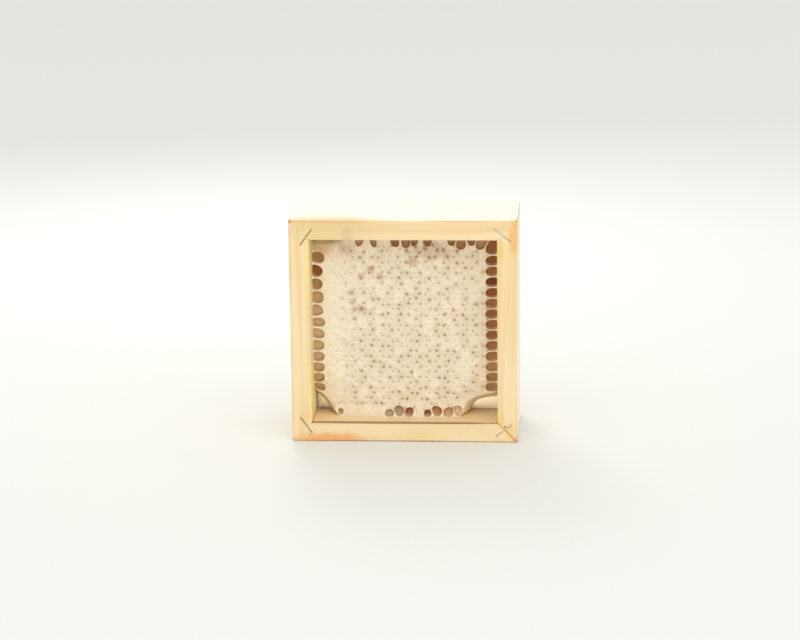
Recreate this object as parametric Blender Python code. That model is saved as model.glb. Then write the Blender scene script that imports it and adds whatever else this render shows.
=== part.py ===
"""Honeycomb piece: a natural comb that bees built inside a small wooden section frame.

Four mitred rails, stapled across each corner, stand upright as a square frame. The comb hangs in it from
rail to rail: a slab of hexagonal cells, open to the front and to the back from a shared middle wall. Most
cells are capped with wax. The ring of cells along the rails is open, with honey a few millimetres down, and
the comb leaves three corners of the frame empty.

Metres, +Z up. The origin is at the middle of the footprint, and the front faces -Y.
"""

import math

import bmesh
import bpy
from mathutils import Matrix, Vector

OBJECT_NAME = "honeycomb_piece"

# Frame.
FRAME_SIDE = 0.115
FRAME_DEPTH = 0.053
RAIL_THICKNESS = 0.0102
ARRIS_RADIUS = 0.0005
MITRE_GAP = 0.0003
GROOVE_WIDTH = 0.0036
GROOVE_DEPTH = 0.003

# Saw kerf along the front edge of the bottom rail, open to the front.
KERF_WIDTH = 0.0006
KERF_DEPTH = 0.0006
KERF_RIGHT_STOP = 0.0038

# Staples: a wire crown across each mitre, with its two legs driven into the rails.
STAPLE_CROWN = 0.0104
STAPLE_LEG = 0.006
STAPLE_WIRE_RADIUS = 0.00025
STAPLE_BEND = 0.0006
STAPLE_SUNK = 0.00016
STAPLE_CLEARANCE = 0.00028
STAPLE_TILT = {"left": math.radians(54), "right": math.radians(38)}
# How far in from the frame's side, and from its top or bottom, the middle of each crown lies.
STAPLE_PLACE = {
    ("left", "top"): (0.0088, 0.0086),
    ("right", "top"): (0.0074, 0.0074),
    ("left", "bottom"): (0.0071, 0.0084),
    ("right", "bottom"): (0.0069, 0.0062),
}

# Comb. Its faces bulge: COMB_RECESS is how far the middle of a face lies behind the rails' front edges, and
# the face falls back by COMB_BULGE more at the side rails.
COMB_RECESS = 0.011
COMB_BULGE = 0.0022
COMB_GAP = 0.0003
CELL_PITCH = 0.00547
LATTICE_X = -0.0004
LATTICE_Z = 0.0556
MOST_COLUMNS = 8
LEAST_RAIL_DISTANCE = 0.0009
RIM_WALL = 0.0008
HONEY_DEPTH = 0.004
CAP_RISE = 0.0004
HALF_OVERLAP = 0.001
MERGE = 0.00002
SHORT_WALL = 0.0009
LEAST_OPEN_MOUTH = 0.000009

# The column of open cells along each side rail. The left one's cells grow taller on the way up, and the last
# cell of each is a tall one.
SIDE_COLUMN_X = 0.0436
LEFT_COLUMN = [0.0245 + row * 0.00535 + row * row * 0.00008 for row in range(-2, 12)] + [0.0994]
RIGHT_COLUMN = [0.0585 + row * 0.00555 for row in range(-7, 7)] + [0.0986]

# The first row under the top rail: each cell's place across, its level, and whether it is open.
FIRST_ROW = (
    (-0.0289, 0.1013, False),
    (-0.0233, 0.1021, True),
    (-0.0194, 0.1016, False),
    (-0.0155, 0.1014, True),
    (-0.0100, 0.1012, False),
    (-0.0048, 0.1019, True),
    (0.0005, 0.1019, True),
    (0.0052, 0.1026, True),
    (0.0113, 0.1021, True),
    (0.0174, 0.1012, False),
    (0.0238, 0.1022, True),
    (0.0288, 0.1010, True),
    (0.0337, 0.1021, True),
    (0.0390, 0.1007, True),
)
UNDER_FIRST_ROW = 0.0049

# The last row has eight cells below nine lattice columns, and one of them is capped.
LAST_ROW_COLUMNS = range(-2, 7)
LAST_ROW_X = -0.0083
LAST_ROW_PITCH = 0.00503
LAST_ROW_Z = 0.0123
LAST_ROW_LIFT = 0.0007
LAST_ROW_OPEN = (True, True, True, False, True, True, True, True)
OPEN_AT_BOTTOM = -7

# Where the comb stops short of a corner, right through its thickness: the side as seen from the front, the
# level, how far the curve of its free edge reaches along the level rail and along the side rail, and how
# round it is, from 1, a straight cut, past 2, an ellipse.
FREE_EDGES = (
    ("left", "bottom", 0.0119, 0.0135, 1.4),
    ("right", "bottom", 0.0190, 0.0121, 2.3),
    ("left", "top", 0.0170, 0.0062, 2.2),
)
SPARE_CELL = 0.001
FREE_EDGE_FALL = 0.0022
FREE_EDGE_SLOPE = 0.014

OPENING_SIDE = FRAME_SIDE - 2 * RAIL_THICKNESS
COMB_HALF_WIDTH = OPENING_SIDE / 2 - COMB_GAP
COMB_LOW = RAIL_THICKNESS + COMB_GAP
COMB_HIGH = FRAME_SIDE - RAIL_THICKNESS - COMB_GAP
COMB_HALF_THICKNESS = FRAME_DEPTH / 2 - COMB_RECESS
COLUMN_SPACING = CELL_PITCH * math.sqrt(3) / 2
FRONT_Y = -FRAME_DEPTH / 2


def clear_scene():
    for old in list(bpy.data.objects):
        bpy.data.objects.remove(old, do_unlink=True)


def new_collection(name):
    collection = bpy.data.collections.new(name)
    bpy.context.scene.collection.children.link(collection)
    return collection


def principled(name, colour, roughness, metallic=0.0):
    material = bpy.data.materials.new(name)
    material.use_nodes = True
    shader = material.node_tree.nodes["Principled BSDF"]
    shader.inputs["Base Color"].default_value = (*colour, 1.0)
    shader.inputs["Roughness"].default_value = roughness
    shader.inputs["Metallic"].default_value = metallic
    return material


def object_from(bm, name, collection, material=None):
    """Turns a finished bmesh into an object."""
    mesh = bpy.data.meshes.new(name)
    bm.to_mesh(mesh)
    bm.free()
    made = bpy.data.objects.new(name, mesh)
    collection.objects.link(made)
    if material:
        mesh.materials.append(material)
    return made


def as_cutter(made):
    made.hide_render = True
    made.display_type = "WIRE"
    return made


def box_cutter(name, low, high, collection):
    """A plain box between two corners, for grooves and kerfs."""
    low, high = Vector(low), Vector(high)
    bm = bmesh.new()
    bmesh.ops.create_cube(bm, size=1.0, matrix=Matrix.Diagonal((*(high - low), 1.0)))
    bmesh.ops.translate(bm, verts=bm.verts, vec=(low + high) / 2)
    return as_cutter(object_from(bm, name, collection))


def cut(made, cutter):
    modifier = made.modifiers.new(cutter.name, "BOOLEAN")
    modifier.operation = "DIFFERENCE"
    modifier.solver = "EXACT"
    modifier.object = cutter


def long_edges(bm):
    return [e for e in bm.edges if abs(e.verts[0].co.x - e.verts[1].co.x) > FRAME_SIDE / 2]


def mitred_rail(name, turn, collection, material):
    """A rail modelled as the bottom one, about the frame's centre, then turned to its own side."""
    bm = bmesh.new()
    bmesh.ops.create_cube(
        bm, size=1.0, matrix=Matrix.Diagonal((FRAME_SIDE * 1.2, FRAME_DEPTH, RAIL_THICKNESS, 1.0))
    )
    bmesh.ops.translate(bm, verts=bm.verts, vec=(0, 0, (RAIL_THICKNESS - FRAME_SIDE) / 2))
    bmesh.ops.bevel(
        bm,
        geom=long_edges(bm),
        offset=ARRIS_RADIUS,
        offset_type="OFFSET",
        segments=2,
        profile=0.5,
        affect="EDGES",
        material=-1,
    )
    for side in (-1, 1):
        corner = Vector((side * (FRAME_SIDE / 2 - MITRE_GAP / math.sqrt(2)), 0, -FRAME_SIDE / 2))
        halves = bmesh.ops.bisect_plane(
            bm,
            geom=bm.verts[:] + bm.edges[:] + bm.faces[:],
            plane_co=corner,
            plane_no=Vector((side, 0, 1)),
            clear_outer=True,
        )
        rim = [e for e in halves["geom_cut"] if isinstance(e, bmesh.types.BMEdge)]
        bmesh.ops.contextual_create(bm, geom=rim)
    bmesh.ops.recalc_face_normals(bm, faces=bm.faces)
    rail = object_from(bm, name, collection, material)
    rail.location = (0, 0, FRAME_SIDE / 2)
    rail.rotation_euler = (0, turn, 0)
    return rail


def staple_path():
    """The wire's centre line: up one leg, along the crown and down the other, the crown along X at z = 0."""
    half = STAPLE_CROWN / 2 - STAPLE_WIRE_RADIUS
    near_bend = STAPLE_BEND * (1 - math.sqrt(0.5))
    one_side = [
        (half, -STAPLE_LEG),
        (half, -STAPLE_BEND),
        (half - near_bend, -near_bend),
        (half - STAPLE_BEND, 0),
    ]
    other_side = [(-x, z) for x, z in reversed(one_side)]
    return one_side + other_side


def wire(name, radius, collection, material=None):
    """A round wire along the staple's path, as a curve with closed ends."""
    curve = bpy.data.curves.new(name, "CURVE")
    curve.dimensions = "3D"
    curve.bevel_depth = radius
    curve.bevel_resolution = 1
    curve.use_fill_caps = True
    path = staple_path()
    spline = curve.splines.new("POLY")
    spline.points.add(len(path) - 1)
    for point, (x, z) in zip(spline.points, path):
        point.co = (x, 0, z, 1)
    made = bpy.data.objects.new(name, curve)
    collection.objects.link(made)
    if material:
        curve.materials.append(material)
    return made


def place_staple(made, side, level, face):
    """Turns a wire so that its legs point into the wood of one corner, and its crown crosses the mitre."""
    across = {"left": -1, "right": 1}[side]
    up = {"bottom": -1, "top": 1}[level]
    outward = {"front": -1, "back": 1}[face]
    inset_x, inset_z = STAPLE_PLACE[side, level]
    lean = -across * up * STAPLE_TILT[side]
    legs_inward = Matrix.Rotation(-outward * math.pi / 2, 4, "X")
    made.matrix_world = (
        Matrix.Translation(
            (
                across * (FRAME_SIDE / 2 - inset_x),
                outward * (FRAME_DEPTH / 2 - STAPLE_SUNK),
                FRAME_SIDE / 2 + up * (FRAME_SIDE / 2 - inset_z),
            )
        )
        @ Matrix.Rotation(-lean, 4, "Y")
        @ legs_inward
    )


def closed_mesh(made, collection):
    """The same wire as a mesh with its end caps welded on."""
    bpy.context.view_layer.update()
    evaluated = made.evaluated_get(bpy.context.evaluated_depsgraph_get())
    bm = bmesh.new()
    bm.from_mesh(bpy.data.meshes.new_from_object(evaluated))
    bmesh.ops.remove_doubles(bm, verts=bm.verts, dist=MERGE)
    solid = object_from(bm, made.name, collection)
    solid.matrix_world = made.matrix_world
    bpy.data.objects.remove(made, do_unlink=True)
    return solid


def from_corner(x, z, side, level):
    """How far a place lies from a corner of the opening, along the level rail and along the side rail."""
    across = OPENING_SIDE / 2 + x if side == "left" else OPENING_SIDE / 2 - x
    upwards = z - RAIL_THICKNESS if level == "bottom" else FRAME_SIDE - RAIL_THICKNESS - z
    return across, upwards


def corner_reach(across, upwards, reach_x, reach_z, roundness):
    """1 on the free edge's curve, and less inside the empty corner."""
    powers = (max(across, 0) / reach_x) ** roundness + (max(upwards, 0) / reach_z) ** roundness
    return max(powers, 1e-6) ** (1 / roundness)


def beyond_free_edge(x, z):
    """Whether a cell would lie so far inside an empty corner that the bees never began it."""
    for side, level, *curve in FREE_EDGES:
        across, upwards = from_corner(x, z, side, level)
        if math.hypot(across, upwards) * (1 / corner_reach(across, upwards, *curve) - 1) > SPARE_CELL:
            return True
    return False


def free_edge_planes(x, z, flip):
    """Planes that trim a cell to the free edges: each touches the curve straight out from the cell."""
    planes = []
    for side, level, reach_x, reach_z, roundness in FREE_EDGES:
        across, upwards = from_corner(flip * x, z, side, level)
        reach = corner_reach(across, upwards, reach_x, reach_z, roundness)
        u = max(across, 0) / reach
        v = max(upwards, 0) / reach
        slope_u = (u / reach_x) ** (roundness - 1) / reach_x
        slope_v = (v / reach_z) ** (roundness - 1) / reach_z
        to_right = flip if side == "left" else -flip
        to_top = 1 if level == "bottom" else -1
        wood = RAIL_THICKNESS if level == "bottom" else FRAME_SIDE - RAIL_THICKNESS
        point = Vector((to_right * (u - OPENING_SIDE / 2), wood + to_top * v, 0))
        planes.append((point, Vector((-to_right * slope_u, -to_top * slope_v, 0))))
    return planes


def column(x, start, pitch):
    """Levels of the cells in one column, from above the bottom rail to below the top one."""
    first = math.ceil((COMB_LOW + LEAST_RAIL_DISTANCE - start) / pitch)
    last = math.floor((COMB_HIGH - LEAST_RAIL_DISTANCE - start) / pitch)
    return [start + row * pitch for row in range(first, last + 1)]


def cell_sites(flip, x_shift):
    """Every cell centre on one face of the comb, each with whether it is open.

    The middle columns keep the bees' regular lattice. The first row under the top rail, the last row and the
    columns along the side rails each have a pitch of their own.
    """
    sites = []
    for i in range(-MOST_COLUMNS, MOST_COLUMNS + 1):
        x = LATTICE_X + x_shift + i * COLUMN_SPACING
        if abs(x) > SIDE_COLUMN_X - 0.0043:
            continue
        levels = column(x, LATTICE_Z + (i % 2) * CELL_PITCH / 2, CELL_PITCH)
        if i in LAST_ROW_COLUMNS:
            levels = levels[1:]
        ceiling = min(FIRST_ROW, key=lambda first: abs(first[0] - x))[1] - UNDER_FIRST_ROW
        levels = [z for z in levels if z < ceiling + 0.4 * CELL_PITCH]
        levels[-1] = min(levels[-1], ceiling)
        sites += [(x, z, i == OPEN_AT_BOTTOM and z == levels[0]) for z in levels]
    for place, is_open in enumerate(LAST_ROW_OPEN):
        x = LAST_ROW_X + x_shift + place * LAST_ROW_PITCH
        sites.append((x, LAST_ROW_Z + (place % 2) * LAST_ROW_LIFT, is_open))
    sites += FIRST_ROW
    sites += [(-SIDE_COLUMN_X, z, True) for z in LEFT_COLUMN]
    sites += [(SIDE_COLUMN_X, z, True) for z in RIGHT_COLUMN]
    return [site for site in sites if not beyond_free_edge(flip * site[0], site[1])]


def cell_outline(site, sites, flip):
    """One cell's mouth: a patch trimmed by the rails, by the free edges, and halfway to each neighbour."""
    centre = Vector((site[0], site[1], 0))
    reach = 2 * CELL_PITCH
    bm = bmesh.new()
    bmesh.ops.create_grid(bm, x_segments=1, y_segments=1, size=reach, matrix=Matrix.Translation(centre))
    planes = [
        (Vector((COMB_HALF_WIDTH, 0, 0)), Vector((1, 0, 0))),
        (Vector((-COMB_HALF_WIDTH, 0, 0)), Vector((-1, 0, 0))),
        (Vector((0, COMB_HIGH, 0)), Vector((0, 1, 0))),
        (Vector((0, COMB_LOW, 0)), Vector((0, -1, 0))),
    ]
    planes += free_edge_planes(site[0], site[1], flip)
    for other in sites:
        between = Vector((other[0], other[1], 0)) - centre
        if 0 < between.length < 2 * reach:
            planes.append((centre + between / 2, between))
    for point, normal in planes:
        bmesh.ops.bisect_plane(
            bm,
            geom=bm.verts[:] + bm.edges[:] + bm.faces[:],
            plane_co=point,
            plane_no=normal,
            clear_outer=True,
        )
    outline = bpy.data.meshes.new("outline")
    bm.to_mesh(outline)
    bm.free()
    return outline


def fall_back(vertex, flip):
    """How far the comb's face lies behind its middle: more towards the side rails, and near a free edge."""
    back = COMB_BULGE * min(1, abs(vertex.co.x / COMB_HALF_WIDTH)) ** 4
    for side, level, *curve in FREE_EDGES:
        across, upwards = from_corner(flip * vertex.co.x, vertex.co.y, side, level)
        gap = math.hypot(across, upwards) * (1 - 1 / corner_reach(across, upwards, *curve))
        back += FREE_EDGE_FALL * max(0, 1 - max(0, gap) / FREE_EDGE_SLOPE) ** 2
    return back


def comb_half(name, facing, collection, material=None):
    """One side of the comb, modelled flat with its mouths up, from the middle wall to the caps.

    The cells of the back are set off sideways, so that the floor of each meets three cells of the front.

    The mouths are joined into one sheet. Open ones get a rim and a pocket down to the honey, capped ones a
    low dome, and the sheet's border is drawn down to the middle wall and closed. Then the half is stood up in
    the middle of the frame.
    """
    flip = 1 if facing == "front" else -1
    sites = cell_sites(flip, 0.0 if facing == "front" else CELL_PITCH / math.sqrt(3))
    bm = bmesh.new()
    open_cells = []
    for site in sites:
        outline = cell_outline(site, sites, flip)
        if len(outline.polygons) == 1:
            bm.from_mesh(outline)
            open_cells.append(site[2] and outline.polygons[0].area > LEAST_OPEN_MOUTH)
        bpy.data.meshes.remove(outline)
    bm.faces.ensure_lookup_table()
    mouths = [face for face, is_open in zip(bm.faces, open_cells) if is_open]
    capped = [face for face, is_open in zip(bm.faces, open_cells) if not is_open]
    bmesh.ops.remove_doubles(bm, verts=bm.verts, dist=MERGE)
    bmesh.ops.remove_doubles(bm, verts=bm.verts, dist=SHORT_WALL)
    bmesh.ops.translate(bm, verts=bm.verts, vec=(0, 0, COMB_HALF_THICKNESS))

    border = [e for e in bm.edges if e.is_boundary]
    skirt = bmesh.ops.extrude_edge_only(bm, edges=border)["geom"]
    foot = [v for v in skirt if isinstance(v, bmesh.types.BMVert)]
    bmesh.ops.translate(bm, verts=foot, vec=(0, 0, -COMB_HALF_THICKNESS - HALF_OVERLAP / 2))
    foot_edges = [e for e in skirt if isinstance(e, bmesh.types.BMEdge) and e.is_boundary]
    bmesh.ops.contextual_create(bm, geom=foot_edges)

    bmesh.ops.inset_individual(bm, faces=mouths, thickness=RIM_WALL / 2, use_even_offset=True)
    pockets = bmesh.ops.extrude_discrete_faces(bm, faces=mouths)["faces"]
    floors = {v for face in pockets for v in face.verts}
    bmesh.ops.translate(bm, verts=list(floors), vec=(0, 0, -HONEY_DEPTH))
    bmesh.ops.poke(bm, faces=capped, offset=CAP_RISE)
    for vertex in bm.verts:
        if vertex.co.z > 0:
            vertex.co.z -= fall_back(vertex, flip)
    bmesh.ops.recalc_face_normals(bm, faces=bm.faces)
    half = object_from(bm, name, collection, material)
    half.rotation_euler = (math.pi / 2, 0, 0 if facing == "front" else math.pi)
    return half


def build():
    clear_scene()
    parts = new_collection(OBJECT_NAME)
    cutters = new_collection("cutters")
    wood = principled("limewood", (0.83, 0.66, 0.41), 0.6)
    steel = principled("staple_steel", (0.33, 0.29, 0.24), 0.45, metallic=1.0)
    wax = principled("comb_wax", (0.82, 0.71, 0.5), 0.5)

    quarter = math.pi / 2
    rails = {
        "rail_bottom": mitred_rail("rail_bottom", 0, parts, wood),
        "rail_left": mitred_rail("rail_left", quarter, parts, wood),
        "rail_top": mitred_rail("rail_top", 2 * quarter, parts, wood),
        "rail_right": mitred_rail("rail_right", 3 * quarter, parts, wood),
    }

    sheet_side = OPENING_SIDE + 2 * GROOVE_DEPTH
    sheet_base = (FRAME_SIDE - sheet_side) / 2
    groove = box_cutter(
        "foundation_groove",
        (-sheet_side / 2, -GROOVE_WIDTH / 2, sheet_base),
        (sheet_side / 2, GROOVE_WIDTH / 2, sheet_base + sheet_side),
        cutters,
    )
    kerf = box_cutter(
        "front_kerf",
        (-OPENING_SIDE / 2, FRONT_Y - KERF_WIDTH, RAIL_THICKNESS - KERF_DEPTH),
        (OPENING_SIDE / 2 - KERF_RIGHT_STOP, FRONT_Y + KERF_WIDTH, RAIL_THICKNESS * 2),
        cutters,
    )
    for rail in rails.values():
        cut(rail, groove)
    cut(rails["rail_bottom"], kerf)

    for face in ("front", "back"):
        for level in ("top", "bottom"):
            for side in ("left", "right"):
                place = f"{face}_{level}_{side}"
                staple = wire(f"staple_{place}", STAPLE_WIRE_RADIUS, parts, steel)
                place_staple(staple, side, level, face)
                slot = wire(f"slot_{place}", STAPLE_WIRE_RADIUS + STAPLE_CLEARANCE, cutters)
                place_staple(slot, side, level, face)
                slot = as_cutter(closed_mesh(slot, cutters))
                cut(rails[f"rail_{level}"], slot)
                cut(rails[f"rail_{side}"], slot)

    comb = comb_half("comb", "front", parts, wax)
    back = as_cutter(comb_half("comb_back", "back", cutters))
    join = comb.modifiers.new("back half", "BOOLEAN")
    join.operation = "UNION"
    join.solver = "EXACT"
    join.object = back


build()
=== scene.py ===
# %% [markdown]
# # A piece of honeycomb in its wooden section frame
#
# Bees were given a small square frame of limewood, and they filled it with comb. Most cells are full and
# capped with pale wax. The cells along the rails are still open, with honey a few millimetres down, and three
# corners were never built out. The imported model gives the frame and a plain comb. This script keeps the wood
# and the staples, gives them their finishes, and models the comb again as wax and honey.

# %% Load the frame
import collections
import math
import random

import bmesh
import bpy
from mathutils import Matrix, Vector, noise


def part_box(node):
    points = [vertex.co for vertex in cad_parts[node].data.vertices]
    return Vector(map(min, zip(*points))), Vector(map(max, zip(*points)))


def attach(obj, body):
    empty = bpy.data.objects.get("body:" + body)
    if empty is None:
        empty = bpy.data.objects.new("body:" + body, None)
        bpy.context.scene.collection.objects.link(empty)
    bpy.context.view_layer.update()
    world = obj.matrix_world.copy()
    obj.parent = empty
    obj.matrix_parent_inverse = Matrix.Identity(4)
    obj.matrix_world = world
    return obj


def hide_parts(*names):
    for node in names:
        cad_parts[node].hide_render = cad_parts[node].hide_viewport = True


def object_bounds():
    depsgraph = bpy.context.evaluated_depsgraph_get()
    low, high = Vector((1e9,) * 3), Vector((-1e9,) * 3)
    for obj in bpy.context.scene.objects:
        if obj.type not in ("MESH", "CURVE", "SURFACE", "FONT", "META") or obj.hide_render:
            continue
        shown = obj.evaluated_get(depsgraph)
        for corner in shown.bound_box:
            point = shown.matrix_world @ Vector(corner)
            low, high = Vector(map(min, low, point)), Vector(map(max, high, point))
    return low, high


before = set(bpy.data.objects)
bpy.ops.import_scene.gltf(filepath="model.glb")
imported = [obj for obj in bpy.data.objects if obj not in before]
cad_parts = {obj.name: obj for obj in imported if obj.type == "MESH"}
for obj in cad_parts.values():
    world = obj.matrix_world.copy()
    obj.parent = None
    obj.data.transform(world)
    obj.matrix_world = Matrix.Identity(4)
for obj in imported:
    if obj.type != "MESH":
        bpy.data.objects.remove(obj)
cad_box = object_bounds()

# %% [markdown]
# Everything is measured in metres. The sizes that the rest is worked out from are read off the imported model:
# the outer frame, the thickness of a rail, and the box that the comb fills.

MM = 0.001
SIDE = cad_box[1].z - cad_box[0].z
rail_low, rail_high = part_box("rail_bottom")
DEPTH = rail_high.y - rail_low.y
RAIL = rail_high.z - rail_low.z
comb_low, comb_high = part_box("comb")
print(f"frame {SIDE / MM:.1f} mm square, {DEPTH / MM:.1f} mm deep, rails {RAIL / MM:.1f} mm thick")

# %% [markdown]
# ## Camera
#
# The frame stands on a table, and the camera looks at it from a little above and a little to the right. A
# long lens from more than a metre away keeps the two sides of the frame nearly parallel.

# %% Camera
camera_data = bpy.data.cameras.new("camera")
camera_data.sensor_width = 36.0
camera_data.lens = 117.0
camera_data.shift_x = -0.0044
camera_data.shift_y = 0.01525
camera_data.clip_start = 0.05
camera = bpy.data.objects.new("camera", camera_data)
camera.location = (0.0925, -1.2988, 0.3713)
camera.rotation_euler = [math.radians(angle) for angle in (76.179, 0.670, 3.995)]
bpy.context.scene.collection.objects.link(camera)
bpy.context.scene.camera = camera
print("camera at", tuple(camera.location))

# %% [markdown]
# ## Table and light
#
# The piece stands on a table of pale painted board, which is matt and shows no reflection. The room is
# bright: soft light comes from all round, from a broad lamp high in front and another at the right, and a
# small lamp behind brightens the top. One strong lamp would be simpler, but bright surroundings keep the
# shadows faint, so the wood looks as light as it is. The plain view transform shows each colour as it was
# set.


# %% Colour and node helpers
def linear(hex_colour):
    """An sRGB colour such as "E8CFA0" as the linear numbers that a shader works with."""
    levels = [int(hex_colour[place : place + 2], 16) / 255 for place in (0, 2, 4)]
    curved = [((level + 0.055) / 1.055) ** 2.4 if level > 0.04 else level / 12.92 for level in levels]
    return (*curved, 1.0)


def add(tree, kind, inputs=None, **settings):
    """Adds a node. An input is given a value, or the output socket that feeds it."""
    node = tree.nodes.new(kind)
    for setting, value in settings.items():
        setattr(node, setting, value)
    for socket, value in (inputs or {}).items():
        if isinstance(value, bpy.types.NodeSocket):
            tree.links.new(value, node.inputs[socket])
        else:
            node.inputs[socket].default_value = value
    return node


def new_material(name):
    """A new material, with its node tree and its shader."""
    material = bpy.data.materials.new(name)
    material.use_nodes = True
    tree = material.node_tree
    return material, tree, tree.nodes["Principled BSDF"]


def object_from(bm, name, material):
    """A finished bmesh as an object of one material."""
    mesh = bpy.data.meshes.new(name)
    bm.to_mesh(mesh)
    bm.free()
    mesh.materials.append(material)
    made = bpy.data.objects.new(name, mesh)
    bpy.context.scene.collection.objects.link(made)
    return made


# %% Table
FLOOR_HALF = 8.0
floor_material, floor_tree, floor_shader = new_material("painted_table")
floor_shader.inputs["Base Color"].default_value = linear("DDDDD9")
floor_shader.inputs["Roughness"].default_value = 0.85
bm = bmesh.new()
bmesh.ops.create_grid(bm, x_segments=1, y_segments=1, size=FLOOR_HALF)
object_from(bm, "table", floor_material)
print("table", 2 * FLOOR_HALF, "m square")

# %% Light
scene = bpy.context.scene
scene.view_settings.view_transform = "Standard"
world = bpy.data.worlds.new("bright_room")
world.use_nodes = True
world.node_tree.nodes["Background"].inputs["Color"].default_value = linear("FFFFFD")
world.node_tree.nodes["Background"].inputs["Strength"].default_value = 1.03
scene.world = world


def softbox(name, place, aim, size, power):
    """A square lamp at a place, turned to face the point it is aimed at."""
    lamp = bpy.data.lights.new(name, "AREA")
    lamp.size = size
    lamp.energy = power
    lit = bpy.data.objects.new(name, lamp)
    lit.location = place
    lit.rotation_euler = (Vector(aim) - Vector(place)).to_track_quat("-Z", "Y").to_euler()
    scene.collection.objects.link(lit)
    return lit


middle = (0, 0, SIDE / 2)
softbox("softbox_above", (0.0, -0.95, 1.3), middle, 1.6, 4.7)
softbox("softbox_right", (1.2, -1.1, 0.7), middle, 1.2, 2.6)
softbox("softbox_behind", (-0.15, 0.55, 0.5), middle, 0.3, 1.4)
print("lamps", [o.name for o in scene.objects if o.type == "LIGHT"])

# %% [markdown]
# ## The wood
#
# Section frames are cut from limewood, a pale hardwood with a fine, even grain, planed and left bare, so it
# is matt with a faint sheen. Its growth lines are faint bands a few millimetres wide, its fibres finer
# still, and both run along the rail. The top and the right side are painted paler, a painted highlight
# where the light falls brightest. Years of handling have turned the outer arrises orange, and honey has
# left stains. A picture of a plank could give the grain, but noise has no seams and runs through the wood
# as real grain does. Stretched along the rail, it gives bands, fibres, flecks and blotches at their real
# widths. Each stain is a soft oval at a set place, its edge broken up by more noise. Some ovals are painted
# light and shade instead: paler patches on the left rail's inner face and on the ledge behind the comb, a
# darker ledge in front of the comb, a painted shadow along the foot of the front face, and painted shade
# in the saw cut along the bottom rail.

# %% Layers of colour
def painted(tree, colour, layers, easing="SMOOTHSTEP"):
    """Lays colours over a first one. Each layer: the value that brings it out, that value where the layer
    begins and where it is complete, how strong it is then, and its colour."""
    for value, begins, complete, strength, hex_colour in layers:
        levels = {"Value": value, "From Min": begins, "From Max": complete, "To Max": strength}
        shown = add(tree, "ShaderNodeMapRange", levels, interpolation_type=easing).outputs[0]
        sockets = {0: shown, 6: colour, 7: linear(hex_colour)}
        colour = add(tree, "ShaderNodeMix", sockets, data_type="RGBA").outputs[2]
    return colour


def joined(tree, ranges, operation):
    """Eases the range of each value to run from 0 to 1, and joins the results by a Math operation."""
    result = None
    for value, low, high in ranges:
        levels = {"Value": value, "From Min": low, "From Max": high}
        eased = add(tree, "ShaderNodeMapRange", levels, interpolation_type="SMOOTHSTEP").outputs[0]
        both = {0: result, 1: eased}
        result = add(tree, "ShaderNodeMath", both, operation=operation).outputs[0] if result else eased
    return result


def spot(tree, place, wander, hex_colour, strength, centre, size, broken, soft):
    """The layer of one listed oval, whether stain, painted highlight or painted shade. Its value is the
    distance from the oval's centre, 1 at its half sizes.
    """
    centre, size = ([length * MM for length in lengths] for lengths in (centre, size))
    moved = add(tree, "ShaderNodeVectorMath", {0: place, 1: centre}, operation="SUBTRACT").outputs[0]
    scaled = add(tree, "ShaderNodeVectorMath", {0: moved, 1: size}, operation="DIVIDE").outputs[0]
    reach = add(tree, "ShaderNodeVectorMath", {0: scaled}, operation="LENGTH").outputs["Value"]
    rough = add(tree, "ShaderNodeMath", {0: wander, 1: broken, 2: reach}, operation="MULTIPLY_ADD").outputs[0]
    return rough, 1 + broken / 2 + soft, 1 + broken / 2 - soft, strength, hex_colour


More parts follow.
